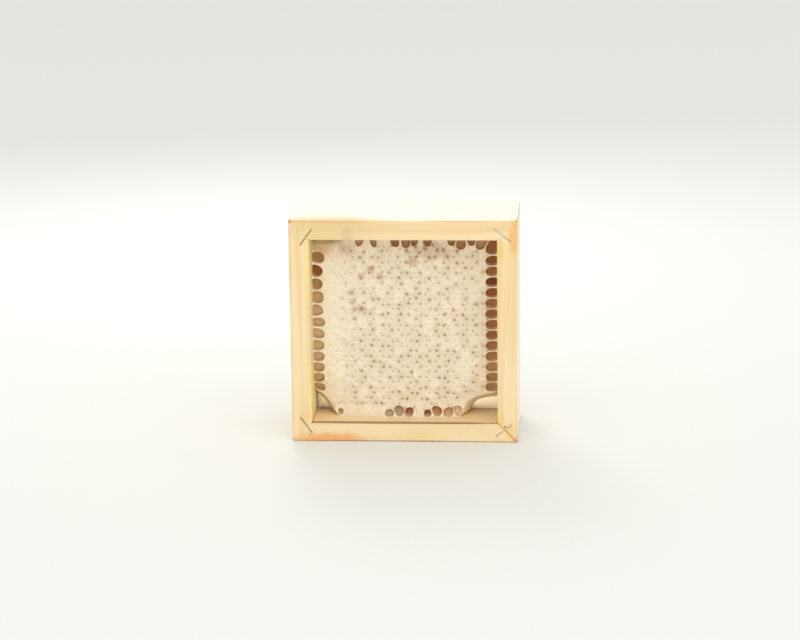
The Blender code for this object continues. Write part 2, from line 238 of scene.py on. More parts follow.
# %% Stains
# Each oval, a stain or a patch of painted highlight, painted shade or painted shadow: colour, strength, centre
# and half size in millimetres, how broken its edge is, and how soft.
STAINS_AND_PAINTED_LIGHT = (
    ("EBA25E", 0.8, (-38, -26, 0.0), (19, 9, 4.2), 0.8, 0.5),
    ("D9A45A", 0.6, (-36, -26, 115.2), (24, 9, 1.5), 0.6, 0.5),
    ("D8C38A", 0.4, (-38, -26, 110), (20, 6, 6), 0.8, 0.5),
    ("D98F4C", 0.8, (-57.2, -26, 114.6), (1.3, 3, 1.3), 0.3, 0.4),
    ("F3C3A6", 0.6, (-56.2, -26, 111.3), (1.3, 3, 2.0), 0.4, 0.5),
    # Painted highlight: the next two make the front part of the left rail's inner face paler, where it lies in
    # shade.
    ("F0DC8E", 0.7, (-47.6, -18, 92), (1.8, 14, 22), 0.5, 0.5),
    ("F3DC86", 0.7, (-47.6, -18, 24), (1.8, 14, 16), 0.5, 0.5),
    ("F0B877", 0.25, (-50, -26, 13), (3, 5, 3), 0.9, 0.5),
    ("EBB766", 0.75, (56.2, -26, 106), (2.9, 9, 8.5), 0.5, 0.4),
    ("DDBB55", 0.6, (56.8, -26, 113.6), (1.8, 9, 2.0), 0.4, 0.5),
    ("E9C452", 0.55, (48.9, -26, 99), (1.8, 6, 5), 0.5, 0.5),
    ("EBCB62", 0.6, (48.9, -26, 12), (2.0, 6, 3.6), 0.4, 0.5),
    ("E6BE55", 0.6, (53.4, -26, 5.6), (1.8, 4, 3.6), 0.4, 0.5),
    ("EDA57C", 0.7, (56.8, -26, 1.0), (2.0, 4, 2.2), 0.4, 0.5),
    ("B9A277", 0.22, (-28, -26, 108), (3, 5, 3.5), 0.8, 0.5),
    # Painted shade: the ledge in front of the comb darkened, inside the frame.
    ("E0BE94", 0.4, (10, -21, 10), (40, 6, 1.0), 0.5, 0.5),
    # Painted shadow: a dark line along the foot of the front face, where the frame stands on the table.
    ("80562F", 0.8, (0, -26.7, 0.0), (57.5, 2, 0.45), 0.3, 0.4),
    # Painted highlight: the low part of the left rail's inner face behind the front of the comb, painted
    # paler.
    ("FFF3D0", 0.85, (-47.5, 8, 17), (1.8, 22, 9), 0.3, 0.3),
    # Painted highlight: the ledge behind the comb painted paler, as if lit from behind.
    ("FCEDCB", 0.8, (0, 18, 10.3), (50, 12, 0.6), 0.3, 0.3),
    ("3E2412", 0.85, (51.1, -26.5, 8.2), (0.5, 1, 0.5), 0.0, 0.4),
)
# Painted shade in the saw cut along the bottom rail, a dark line down the cut. It lies on the level rails
# only.
SAW_CUT_SHADE = (("9C7048", 0.85, (-8.0, -26.3, 10.0), (66, 1.1, 0.7), 0.3, 0.15),)
SPOT_RAGGEDNESS = 3.85 * MM
print(len(STAINS_AND_PAINTED_LIGHT) + len(SAW_CUT_SHADE), "stains_and_light")

# %% Limewood
PALE_WOOD, LATE_WOOD, WARM_WOOD, FLECK = "F1DAAD", "E9CB97", "F1CE93", "C79C63"
# The palest wood is a painted highlight, laid on the top face and the right outer face.
PAINTED_HIGHLIGHT_WOOD, EDGE_STAIN = "F1E7D2", "DFA55E"
# The width and length of each pattern in millimetres, and its detail. Real fibres are finer: these are drawn
# as coarse as they need to be to show.
GRAIN = {
    "band": (3.2, 90.0, 3.0),
    "fibre": (0.35, 9.0, 2.0),
    "fleck": (0.5, 5.0, 1.0),
    "blotch": (14.0, 40.0, 2.0),
}


def limewood(name, grain_axis):
    """Bare limewood: its grain, then its worn arrises and a painted highlight on the top and right faces, then
    the listed ovals of stain, painted light and painted shade.
    """
    material, tree, shader = new_material(name)
    place = add(tree, "ShaderNodeTexCoord").outputs["Object"]
    figure = {}
    for pattern, (width, length, detail) in GRAIN.items():
        scale = [1000 / width] * 3
        scale["XYZ".index(grain_axis)] = 1000 / length
        units = add(tree, "ShaderNodeMapping", {"Vector": place, "Scale": scale}).outputs[0]
        sockets = {"Vector": units, "Scale": 1.0, "Detail": detail}
        figure[pattern] = add(tree, "ShaderNodeTexNoise", sockets).outputs["Fac"]
    grain = (
        (figure["band"], 0.4, 0.68, 1.0, LATE_WOOD),
        (figure["blotch"], 0.42, 0.7, 0.5, WARM_WOOD),
        (figure["fibre"], 0.5, 0.75, 0.3, LATE_WOOD),
        (figure["fleck"], 0.68, 0.8, 0.3, FLECK),
    )
    colour = painted(tree, linear(PALE_WOOD), grain)
    x, y, z = add(tree, "ShaderNodeSeparateXYZ", {0: place}).outputs
    level = add(tree, "ShaderNodeMath", {0: z, 1: SIDE / 2}, operation="SUBTRACT").outputs[0]
    away_x, away_y, away_z = (
        add(tree, "ShaderNodeMath", {0: value}, operation="ABSOLUTE").outputs[0] for value in (x, y, level)
    )
    outward = add(tree, "ShaderNodeMath", {0: away_x, 1: away_z}, operation="MAXIMUM").outputs[0]
    at_arrises = (
        (outward, SIDE / 2 - 1.3 * MM, SIDE / 2 - 0.1 * MM),
        (away_y, DEPTH / 2 - 5 * MM, DEPTH / 2 - 0.5 * MM),
        (figure["blotch"], 0.3, 0.8),
    )
    worn = joined(tree, at_arrises, "MULTIPLY")
    # The top face and the right outer face are painted paler: a painted highlight where the light falls
    # brightest.
    at_faces = ((z, SIDE - 0.3 * MM, SIDE - 0.02 * MM), (x, SIDE / 2 - 0.3 * MM, SIDE / 2 - 0.02 * MM))
    painted_highlight = joined(tree, at_faces, "MAXIMUM")
    wear_and_highlight = ((worn, 0.0, 1.0, 1.0, EDGE_STAIN), (painted_highlight, 0.0, 1.0, 0.85, PAINTED_HIGHLIGHT_WOOD))
    colour = painted(tree, colour, wear_and_highlight, easing="LINEAR")
    sockets = {"Vector": place, "Scale": 1 / SPOT_RAGGEDNESS, "Detail": 3.0}
    wander = add(tree, "ShaderNodeTexNoise", sockets).outputs["Fac"]
    # The ovals hold both real stains and patches of painted light and shade.
    stains_and_light = STAINS_AND_PAINTED_LIGHT + (SAW_CUT_SHADE if grain_axis == "X" else ())
    colour = painted(tree, colour, [spot(tree, place, wander, *stain) for stain in stains_and_light])
    tree.links.new(colour, shader.inputs["Base Color"])
    shader.inputs["Roughness"].default_value = 0.62
    shader.inputs["IOR"].default_value = 1.5
    bump = add(tree, "ShaderNodeBump", {"Height": figure["fibre"], "Strength": 0.25, "Distance": 0.06 * MM})
    tree.links.new(bump.outputs[0], shader.inputs["Normal"])
    return material


wood_along = {"X": limewood("planed_limewood_level", "X"), "Z": limewood("planed_limewood_upright", "Z")}
RAIL_GRAIN = {"rail_top": "X", "rail_bottom": "X", "rail_left": "Z", "rail_right": "Z"}


def finish_node(node, material):
    """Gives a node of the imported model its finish."""
    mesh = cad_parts[node].data
    mesh.materials.clear()
    mesh.materials.append(material)


for node, axis in RAIL_GRAIN.items():
    finish_node(node, wood_along[axis])
print("wood on", sorted(RAIL_GRAIN))

# %% [markdown]
# ## The staples
#
# Each mitre is held by a wire staple across it, front and back: plain drawn steel wire, stained brown by
# damp on the left. A film of wax and dust dulls it, so it mirrors far less than clean wire and is rough in
# patches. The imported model's wire has the right shape, so it only needs its finish.

# %% Staple wire
WIRE_PATCH = 1.43 * MM


def drawn_steel(name, bare, stained):
    """Dulled wire, bare in some patches and stained in others."""
    material, tree, shader = new_material(name)
    place = add(tree, "ShaderNodeTexCoord").outputs["Object"]
    sockets = {"Vector": place, "Scale": 1 / WIRE_PATCH, "Detail": 3.0}
    patches = add(tree, "ShaderNodeTexNoise", sockets).outputs["Fac"]
    colour = painted(tree, linear(bare), [(patches, 0.4, 0.65, 1.0, stained)])
    tree.links.new(colour, shader.inputs["Base Color"])
    tree.links.new(joined(tree, [(patches, 0.0, 1.4)], "MULTIPLY"), shader.inputs["Roughness"])
    shader.inputs["Metallic"].default_value = 0.3
    return material


clean_steel = drawn_steel("drawn_steel_wire", "F0E4C8", "DCC49A")
damp_steel = drawn_steel("drawn_steel_wire_damp", "CBB08A", "AD8C62")
staples = [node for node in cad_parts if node.startswith("staple")]
for node in staples:
    finish_node(node, damp_steel if node.endswith("left") else clean_steel)
print("steel on", len(staples), "staples")

# %% [markdown]
# ## Filler in the mitres
#
# Three of the four mitres are so tight that no line shows: a smear of glue and sawdust fills the gap, sanded
# flush and bare like the wood. It could be painted over the gap, but the gap is real, so a thin strip closes
# it, just proud of the faces it joins. The fourth mitre, at the bottom right, has lost its filler, and its
# gap shows dark.

# %% Mitre filler
FILLED_CORNERS = ((-1, 1), (1, 1), (-1, -1))
STRIP = (9.0 * MM * math.sqrt(2), 0.5 * MM, 0.45 * MM)
STRIP_PROUD = 0.015 * MM


def filler_strip(bm, across, up, outward):
    """One strip: a bar laid along the mitre, with its face just outside the rails' faces."""
    made = bmesh.ops.create_cube(bm, size=1.0)["verts"]
    reach = (SIDE - RAIL) / 2
    y = outward * (DEPTH / 2 + STRIP_PROUD - STRIP[1] / 2)
    shift = Matrix.Translation((across * reach, y, SIDE / 2 + up * reach))
    turn = Matrix.Rotation(-across * up * math.pi / 4, 4, "Y")
    bmesh.ops.transform(bm, matrix=shift @ turn @ Matrix.Diagonal((*STRIP, 1)), verts=made)


bm = bmesh.new()
for across, up in FILLED_CORNERS:
    filler_strip(bm, across, up, -1)
    filler_strip(bm, -across, up, 1)
filler = object_from(bm, "mitre_filler", wood_along["X"])
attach(filler, "root")
print(filler.name, len(filler.data.polygons), "faces")


# %% [markdown]
# ## Where the cells are
#
# Bees build upright columns of six-sided cells, each column half a cell off from the next. On this comb a
# worker's cell is 5.47 mm across its flats. Against the wood the pattern gives way: the columns along the
# side rails have their own pitch, and so do the first row and the last one. A perfect lattice would look
# stamped and cells at random would look torn, so a lattice fills the middle and lists place the cells along
# the wood. Every cell is one record: its centre, whether it is capped, open over honey, or open and dry, how
# deep it is, its tone, and the radius of its mouth where that is smaller than the room for it. Honey's tone
# runs from 0, deep red brown, to 1, light tan. A dry cell's tone is how much honey has stained it.

# %% Cell records
Cell = collections.namedtuple("Cell", "x z mouth depth tone radius", defaults=(0.0, 0.0, 0.0))
PITCH = 5.47 * MM
COLUMN_STEP = PITCH * math.sqrt(3) / 2
LATTICE_X = -0.4 * MM
LATTICE_Z = 55.6 * MM
MIDDLE_COLUMNS = range(-8, 9)
LEAST_RAIL_DISTANCE = 0.9 * MM
SIDE_COLUMN_X = 43.6 * MM
SIDE_COLUMN_ROOM = 4.3 * MM
SIDE_DEPTHS = (2.6, 3.6)
print("a cell is", round(PITCH / MM, 2), "mm across, and a column", round(COLUMN_STEP / MM, 2), "mm wide")

# %% Cells along the wood
# The two rows along the level rails, from the left, as cell records in millimetres.
LAST_ROW_COLUMNS = (-7, *range(-2, 7))
LAST_ROW = (
    (-33.9, 12.0, "dry", 0.7, 0.0, 1.7),
    (-8.3, 11.7, "dry", 0.9, 0.05),
    (-3.4, 13.3, "dry", 1.0, 0.22),
    (1.6, 12.2, "open", 2.8, 0.3),
    (6.4, 12.6, "capped"),
    (11.1, 11.8, "open", 2.8, 0.34),
    (16.0, 13.2, "open", 2.4, 0.45),
    (21.9, 12.0, "open", 1.8, 0.58),
    (27.0, 13.4, "open", 1.4, 0.75),
)
FIRST_ROW = (
    (-28.9, 101.0, "capped"),
    (-23.0, 100.7, "open", 2.2, 0.7),
    (-19.2, 98.8, "capped"),
    (-15.4, 100.0, "open", 2.0, 0.55),
    (-10.0, 101.1, "capped"),
    (-4.7, 101.0, "open", 2.4, 0.45),
    (1.0, 101.35, "open", 2.4, 0.55),
    (5.1, 101.3, "open", 2.2, 0.5),
    (7.8, 99.9, "capped"),
    (11.6, 101.2, "open", 2.4, 0.5),
    (17.8, 101.0, "capped"),
    (24.0, 101.2, "open", 2.4, 0.55),
    (28.7, 100.3, "open", 2.6, 0.5),
    (34.1, 101.4, "open", 2.4, 0.5),
    (38.6, 100.2, "open", 2.2, 0.6),
)
UNDER_FIRST_ROW = 4.9 * MM

# The column along each side rail, from the bottom up: the levels of its cells, how light their honey is, and
# how far each of the left ones lies from the usual place, in millimetres. The left cells grow taller upwards.
RIGHT_LEVELS = [58.5 * MM + row * 5.55 * MM for row in range(-7, 7)] + [97.6 * MM]
LEFT_LEVELS = [24.5 * MM + row * 5.35 * MM + row * row * 0.08 * MM for row in range(-2, 12)] + [99.4 * MM]
RIGHT_TONES = (0.7, 0.65, 0.62, 0.6, 0.55, 0.5, 0.45, 0.4, 0.42, 0.5, 0.25, 0.08, 0.42, 0.27, 0.4)
LEFT_TONES = (0.9, 0.95, 0.85, 1.0, 0.95, 1.1, 1.1, 1.0, 0.95, 0.85, 0.8, 0.62, 0.25, 0.58, 0.0)
LEFT_SHIFTS = (-0.4, -0.4, -0.8, -1.0, -0.8, -0.6, -0.8, -0.4, 0.3, -1.2, -1.2, -1.3, -1.1, 0.3, 0.0)
SIDE_COLUMNS = {
    -1: (LEFT_LEVELS, LEFT_TONES, LEFT_SHIFTS),
    1: (RIGHT_LEVELS, RIGHT_TONES, [0.0] * len(RIGHT_LEVELS)),
}
print(len(FIRST_ROW), "cells in the first row,", len(LAST_ROW), "in the last,", len(LEFT_LEVELS), "a side")

# %% Laying out the cells
WANDER = 0.2 * MM
SETTLING_ROUNDS = 2
SETTLED_BELOW = comb_high.z - 6 * MM


def column(x, start, pitch):
    """Levels of the cells in one column, from above the bottom rail to below the top one."""
    first = math.ceil((comb_low.z + LEAST_RAIL_DISTANCE - start) / pitch)
    last = math.floor((comb_high.z - LEAST_RAIL_DISTANCE - start) / pitch)
    return [start + row * pitch for row in range(first, last + 1)]


def side_cells(side, chance):
    """The column of open cells along one side rail. The top one on the left is closed."""
    levels, tones, shifts = SIDE_COLUMNS[side]
    for z, tone, shift in zip(levels, tones, shifts):
        mouth = "capped" if side < 0 and z == levels[-1] else "open"
        yield Cell(side * SIDE_COLUMN_X + shift * MM, z, mouth, chance.uniform(*SIDE_DEPTHS) * MM, tone)


def settled(cell, cells, facing):
    """A capped cell, moved towards the middle of its mouth, so that no cell is much larger than the next."""
    if cell.mouth != "capped" or cell.z > SETTLED_BELOW:
        return cell
    outline = mouth_outline(cell, cells, facing)
    middle = outline.polygons[0].center.copy()
    bpy.data.meshes.remove(outline)
    return cell._replace(x=(cell.x + middle.x) / 2, z=(cell.z + middle.y) / 2)


def wandered(cell, chance):
    """A capped cell, moved a little at random: no two cells of a real comb are quite alike."""
    if cell.mouth != "capped":
        return cell
    return cell._replace(x=cell.x + chance.gauss(0, WANDER), z=cell.z + chance.gauss(0, WANDER))


def comb_cells(facing):
    """Every cell on one side of the comb, laid out as seen from the front, and turned round for the back. The
    back's lattice is set off, as bees build it, so that the floor of each cell meets three cells of the
    front, and its honey has slightly different tones."""
    chance = random.Random(facing)
    set_off = 0 if facing == "front" else 1
    cells = []
    for i in MIDDLE_COLUMNS:
        x = LATTICE_X - set_off * PITCH / math.sqrt(12) + i * COLUMN_STEP
        if abs(x) > SIDE_COLUMN_X - SIDE_COLUMN_ROOM:
            continue
        levels = column(x, LATTICE_Z + (i + set_off) % 2 * PITCH / 2, PITCH)
        if i in LAST_ROW_COLUMNS:
            levels = levels[1:]
        ceiling = min(FIRST_ROW, key=lambda first: abs(first[0] * MM - x))[1] * MM - UNDER_FIRST_ROW
        levels = [z for z in levels if z < ceiling + 0.4 * PITCH]
        levels[-1] = min(levels[-1], ceiling)
        cells.extend(Cell(x, z, "capped") for z in levels)
    for x, z, mouth, depth, tone, radius in (Cell(*row) for row in LAST_ROW + FIRST_ROW):
        cells.append(Cell(x * MM, z * MM, mouth, depth * MM, tone, radius * MM))
    for side in (-1, 1):
        cells.extend(side_cells(side, chance))
    cells = [cell for cell in cells if not beyond_free_edge(cell, "front")]
    if facing == "back":
        cells = [cell._replace(x=-cell.x, tone=cell.tone * chance.uniform(0.75, 1.15)) for cell in cells]
    for _ in range(SETTLING_ROUNDS):
        cells = [settled(cell, cells, facing) for cell in cells]
    return [wandered(cell, chance) for cell in cells]


# %% [markdown]
# ## The comb's free edges
#
# In three corners the comb stops on a curve of its own and never reaches the wood. A Boolean could cut the
# corners away, but it leaves ragged faces that don't round well, so each cell there is trimmed by a plane
# that touches the curve. Each curve is given by a reach along the level rail, a reach along the side rail, a
# roundness that goes from 1, a straight cut, past 2, an ellipse, to a squarer bite, how much further the comb
# reaches into the corner in the middle of its thickness, and how soon behind the face it does so.

# %% Free edges
FreeEdge = collections.namedtuple("FreeEdge", "side level reach_x reach_z roundness spread haste")
FREE_EDGES = (
    FreeEdge("left", "bottom", 11.5 * MM, 13.0 * MM, 1.45, 4.2 * MM, 2),
    FreeEdge("right", "bottom", 18.6 * MM, 12.0 * MM, 2.3, 5.0 * MM, 2),
    FreeEdge("left", "top", 17.0 * MM, 5.8 * MM, 2.2, 5.2 * MM, 6),
)
OPENING_HALF = SIDE / 2 - RAIL
SPARE_CELL = 1.0 * MM
print(len(FREE_EDGES), "free edges")


def about_free_edges(x, z, facing):
    """For each free edge: how far a place lies from its corner, along the level rail and along the side rail,
    and how far out it is: 1 on the edge itself, less inside the empty corner."""
    seen_x = x if facing == "front" else -x
    for edge in FREE_EDGES:
        across = OPENING_HALF + seen_x if edge.side == "left" else OPENING_HALF - seen_x
        upwards = z - RAIL if edge.level == "bottom" else SIDE - RAIL - z
        power_x = (max(across, 0) / edge.reach_x) ** edge.roundness
        power_z = (max(upwards, 0) / edge.reach_z) ** edge.roundness
        yield edge, across, upwards, max(power_x + power_z, 1e-6) ** (1 / edge.roundness)


def beyond_free_edge(cell, facing):
    """Whether a cell would lie so far inside an empty corner that the bees never began it."""
    edges = about_free_edges(cell.x, cell.z, facing)
    return any(math.hypot(across, up) * (1 / out - 1) > SPARE_CELL for _, across, up, out in edges)


def free_edge_planes(cell, facing):
    """Planes that trim a cell to the free edges. Each touches its curve straight out from the cell."""
    planes = []
    for edge, across, upwards, out in about_free_edges(cell.x, cell.z, facing):
        u, v = max(across, 0) / out, max(upwards, 0) / out
        slope_u = (u / edge.reach_x) ** (edge.roundness - 1) / edge.reach_x
        slope_v = (v / edge.reach_z) ** (edge.roundness - 1) / edge.reach_z
        flip = 1 if facing == "front" else -1
        to_right = flip if edge.side == "left" else -flip
        to_top = 1 if edge.level == "bottom" else -1
        wood = RAIL if edge.level == "bottom" else SIDE - RAIL
        point = Vector((to_right * (u - OPENING_HALF), wood + to_top * v, 0))
        planes.append((point, Vector((-to_right * slope_u, -to_top * slope_v, 0))))
    return planes


# %% [markdown]
# ## The sheet of mouths
#
# Seen straight on, a comb is a sheet of mouths, and every wall stands halfway between two cells. A ready
# grid of hexagons can't follow cells of different sizes, so each mouth starts as a square patch of wax, and
# bisect_plane trims it at the wood, at the free edges and halfway to each neighbour. That gives true hexagons
# where the lattice is regular, and the odd shapes of real comb where it isn't. The patches are joined and
# welded, then a bevel of the corner points turns each place where three cells meet into a small triangle,
# whose sides are halved: over capped cells it becomes a round pit, and beside open cells it rounds their
# mouths. At the wood the sheet reaches a little into the rails, which cut its cells off flat.

# %% Sheet of mouths
REACH = 2.2 * PITCH
WELD = 0.02 * MM
SHORT_WALL = 0.9 * MM
JUNCTION_PERCENT = 46
SIDE_OVERLAP = 1.3 * MM
LEVEL_OVERLAP = 0.4 * MM
WOOD_HALF = OPENING_HALF + SIDE_OVERLAP
WOOD_PLANES = (
    (Vector((WOOD_HALF, 0, 0)), Vector((1, 0, 0))),
    (Vector((-WOOD_HALF, 0, 0)), Vector((-1, 0, 0))),
    (Vector((0, SIDE - RAIL + LEVEL_OVERLAP, 0)), Vector((0, 1, 0))),
    (Vector((0, RAIL - LEVEL_OVERLAP, 0)), Vector((0, -1, 0))),
)
# Numbers that each point carries for the wax's finish: how deep in a pit it is, how much honey has seeped
# there, how bare and rosy the wax is, and how pale. The pit and tone numbers also carry painted shade and
# painted highlight: an olive band and a pale slope at the top left free edge, pale rims round the pits.
TRACES = ("pit", "seep", "blush", "tone")


def mouth_outline(cell, cells, facing):
    """One cell's mouth, modelled flat: X runs across the comb, Y up it, and Z out of it."""
    centre = Vector((cell.x, cell.z, 0))
    planes = list(WOOD_PLANES) + free_edge_planes(cell, facing)
    for other in cells:
        between = Vector((other.x, other.z, 0)) - centre
        if 0 < between.length < REACH:
            planes.append((centre + between / 2, between))
    bm = bmesh.new()
    bmesh.ops.create_grid(bm, x_segments=1, y_segments=1, size=REACH, matrix=Matrix.Translation(centre))
    for point, outward in planes:
        whole = bm.verts[:] + bm.edges[:] + bm.faces[:]
        bmesh.ops.bisect_plane(bm, geom=whole, plane_co=point, plane_no=outward, clear_outer=True)
    outline = bpy.data.meshes.new("outline")
    bm.to_mesh(outline)
    bm.free()
    return outline


def mouth_sheet(cells, facing):
    """All mouths as one sheet. Each face knows its cell's number, and a face where cells meet has -1."""
    bm = bmesh.new()
    numbers = []
    for number, cell in enumerate(cells):
        outline = mouth_outline(cell, cells, facing)
        if len(outline.polygons) == 1:
            bm.from_mesh(outline)
            numbers.append(number)
        bpy.data.meshes.remove(outline)
    cell_number = bm.faces.layers.int.new("cell")
    for trace in TRACES:
        bm.verts.layers.float.new(trace)
    for face, number in zip(bm.faces, numbers):
        face[cell_number] = number
    bmesh.ops.remove_doubles(bm, verts=bm.verts, dist=WELD)
    bmesh.ops.remove_doubles(bm, verts=bm.verts, dist=SHORT_WALL)
    meeting = [v for v in bm.verts if not v.is_boundary and len(v.link_faces) > 2]
    made = bmesh.ops.bevel(
        bm,
        geom=meeting,
        offset=JUNCTION_PERCENT,
        offset_type="PERCENT",
        segments=1,
        profile=0.5,
        affect="VERTICES",
        material=-1,
    )
    for face in made["faces"]:
        face[cell_number] = -1
    for edge in dict.fromkeys(edge for face in made["faces"] for edge in face.edges):
        bmesh.utils.edge_split(edge, edge.verts[0], 0.5)
    return bm, cell_number


front_cells = comb_cells("front")
print(len(front_cells), "cells in front,", sum(c.mouth == "open" for c in front_cells), "open")


# %% [markdown]
# ## Caps, pits and open mouths
#
# A cap is a thin lid of wax, a little domed, and where three lids meet they leave a pit that shows dark.
# Some pits run together along a wall. An open cell has a thick rounded lip, walls that thin below it, and
# honey some way down. Bump in the material could dimple a flat sheet, but gives no pockets and no lips. So
# all of this is drawn from the sheet with inset and extrude, a Subdivision Surface modifier rounds it, and
# each point gets its traces as it is made.

# %% Pits
PIT_RADIUS = 0.86 * MM
PIT_DEPTH = 0.65 * MM
PIT_SWAY = 0.28 * MM
PIT_STRENGTHS = (0.25, 0.55, 0.7, 0.85, 1.0)
PIT_RIM_SHADE = 0.35
PIT_WALL_SHADE = 0.6
FAINT_LEFT, FAINT_REACH = -40 * MM, 16 * MM
FAINT_FOOT = (-10 * MM, 16 * MM)
RUN_TOGETHER = 0.04
# Just under the first row pits have grown and run together. Each place: its middle and half size.
WORN_PLACES = ((13.5, 96.9, 14.5, 3.4), (-29.0, 98.4, 4.2, 2.2))


def worn(x, z):
    """1 in the worn places, 0 elsewhere."""
    for middle_x, middle_z, half_x, half_z in WORN_PLACES:
        if math.hypot((x / MM - middle_x) / half_x, (z / MM - middle_z) / half_z) < 1:
            return 1.0
    return 0.0


def strength_of_pit(x, z, chance):
    """How deep a pit is, from 0 to 1: faint along the left and at the bottom left, deepest to the right."""
    strength = max(worn(x, z), chance.choice(PIT_STRENGTHS))
    strength *= min(1.0, max(0.12, (x - FAINT_LEFT) / FAINT_REACH))
    if x < FAINT_FOOT[0] and z < FAINT_FOOT[1]:
        strength *= 0.15
    return strength


def neighbours(junction, cell_number):
    """The numbers of the cells round a junction."""
    return {face[cell_number] for vertex in junction.verts for face in vertex.link_faces} - {-1}


def draw_in(face, share):
    """Draws a face's points towards its middle."""
    middle = face.calc_center_median()
    for vertex in face.verts:
        vertex.co = middle + (vertex.co - middle) * share


def draw_to_circle(vertices, middle, radius, share):
    """Moves points part of the way to a circle round a middle."""
    for vertex in vertices:
        away = Vector((vertex.co.x - middle.x, vertex.co.y - middle.y, 0))
        vertex.co += share * (radius / away.length - 1) * away


def sink_pits(bm, cells, cell_number, traces, chance):
    """Draws each junction of lids round, and down into a pit. Beside an open cell it only dips."""
    junctions = [face for face in bm.faces if face[cell_number] == -1]
    pits = []
    for face in junctions:
        capped = {cells[number].mouth == "capped" for number in neighbours(face, cell_number)}
        centre = face.calc_center_median()
        strength = strength_of_pit(centre.x, centre.y, chance)
        if capped == {False}:
            continue
        spoilt = worn(centre.x, centre.y)
        if False in capped and not spoilt:
            strength *= 0.8
        radius = PIT_RADIUS * chance.uniform(0.7, 1.2) * (1 + 0.6 * spoilt)
        draw_to_circle(face.verts, centre, radius, 0.75)
        sway = Vector((chance.gauss(0, PIT_SWAY), chance.gauss(0, PIT_SWAY), 0))
        for vertex in face.verts:
            vertex.co += sway * (0 if False in capped else 1)
            vertex[traces["pit"]] = PIT_RIM_SHADE * strength
            # The rim round each pit gets a random tone, mostly paler: small painted highlights where the rims
            # catch the light.
            vertex[traces["tone"]] = chance.uniform(-0.5, 1.6)
            vertex[traces["seep"]] = 0.15 * spoilt
        pits.append((face, strength))
    for edge in walls_that_sink(bm, cells, cell_number, chance):
        middle = bmesh.utils.edge_split(edge, edge.verts[0], 0.5)[1]
        strength = strength_of_pit(middle.co.x, middle.co.y, chance)
        middle.co.z -= 0.4 * PIT_DEPTH * strength
        middle[traces["pit"]] = PIT_WALL_SHADE * strength
    floors = bmesh.ops.extrude_discrete_faces(bm, faces=[face for face, _ in pits])["faces"]
    for face, (_, strength) in zip(floors, pits):
        draw_in(face, 0.78)
        for vertex in face.verts:
            vertex.co.z -= PIT_DEPTH * strength
            vertex[traces["pit"]] = strength
    return len(pits)


def walls_that_sink(bm, cells, cell_number, chance):
    """The walls between two lids along which the pits at their ends have run together."""
    sunk = []
    for edge in bm.edges:
        numbers = [face[cell_number] for face in edge.link_faces]
        if len(numbers) < 2 or -1 in numbers or any(cells[n].mouth != "capped" for n in numbers):
            continue
        middle = (edge.verts[0].co + edge.verts[1].co) / 2
        if chance.random() < RUN_TOGETHER + 0.7 * worn(middle.x, middle.y):
            sunk.append(edge)
    return sunk


# %% Caps
CAP_STEPS = ((0.85, 0.05 * MM), (0.65, 0.16 * MM))


def raise_caps(bm, caps, cell_number, traces, chance):
    """Two steps give each lid a faint valley round it, a shoulder, and a low dome."""
    rises = {face[cell_number]: chance.uniform(0.2, 1.6) for face in caps}
    tones = {face[cell_number]: chance.gauss(0, 0.3) for face in caps}
    for drawn_in, rise in CAP_STEPS:
        caps = bmesh.ops.extrude_discrete_faces(bm, faces=caps)["faces"]
        for face in caps:
            draw_in(face, drawn_in)
            number = face[cell_number]
            for vertex in face.verts:
                vertex.co.z += rise * rises[number]
                vertex[traces["tone"]] = tones[number]


# %% Open mouths
LIP = 0.26 * MM
LIP_RISE = 0.12 * MM
LIP_TONE = 3.0
ROUNDNESS = 0.7
ROUNDED_HALF = WOOD_HALF - 1.4 * MM
ROUNDED_TOP = SIDE - RAIL - 1.2 * MM
PAST_HONEY = 0.6 * MM
WALL_STEPS = ((1.0, 0.12), (1.05, 0.35), (1.04, 1.15))


def round_mouth(face, cell):
    """Draws a mouth's points towards a circle, except those at the wood."""
    middle = Vector((cell.x, cell.z, 0))
    free = [v for v in face.verts if abs(v.co.x) < ROUNDED_HALF and v.co.y < ROUNDED_TOP]
    if len(free) < 3:
        return
    if cell.radius:
        draw_to_circle(free, middle, cell.radius, 1.0)
    else:
        draw_to_circle(free, middle, sum((v.co - middle).xy.length for v in free) / len(free), ROUNDNESS)


def open_mouths(bm, mouths, cells, cell_number, traces):
    """A lip round each open cell, then walls that thin below it and go down past the honey."""
    lips = {vertex for face in mouths for vertex in face.verts}
    bmesh.ops.inset_individual(bm, faces=mouths, thickness=LIP, use_even_offset=True)
    for face in mouths:
        round_mouth(face, cells[face[cell_number]])
        lips.update(face.verts)
    for vertex in lips:
        vertex.co.z += LIP_RISE
        vertex[traces["tone"]] = LIP_TONE
    for widen, fraction in WALL_STEPS:
        mouths = bmesh.ops.extrude_discrete_faces(bm, faces=mouths)["faces"]
        for face in mouths:
            cell = cells[face[cell_number]]
            draw_in(face, widen)
            for vertex in face.verts:
                vertex.co.z = -(cell.depth + PAST_HONEY) * fraction
                vertex[traces["blush"]] = 1.0
                vertex[traces["tone"]] = 0.0
                if cell.mouth == "dry":
                    vertex[traces["pit"]] = fraction
                    vertex[traces["seep"]] = cell.tone * fraction


# %% [markdown]
# ## What age and use have left on the wax
#
# Some traces don't come from the shape but from what happened to the comb. Honey has seeped into a few pits
# high on the left and stained them, one thin cap near the top has sunk and gone rosy, the foot is smeared
# and duller, the wax beside the open cells on the left is paler, and round the top left corner it is bare.
# These marks could be painted by hand in Vertex Paint. Here each is a place and a reach, which stay with the
# comb when its cells move. The back carries the same marks, turned round with it. One mark is painted light,
# not age: at the top left free edge an olive band of painted shade lies along the comb's edge, and the slope
# behind it is painted palest as a highlight.

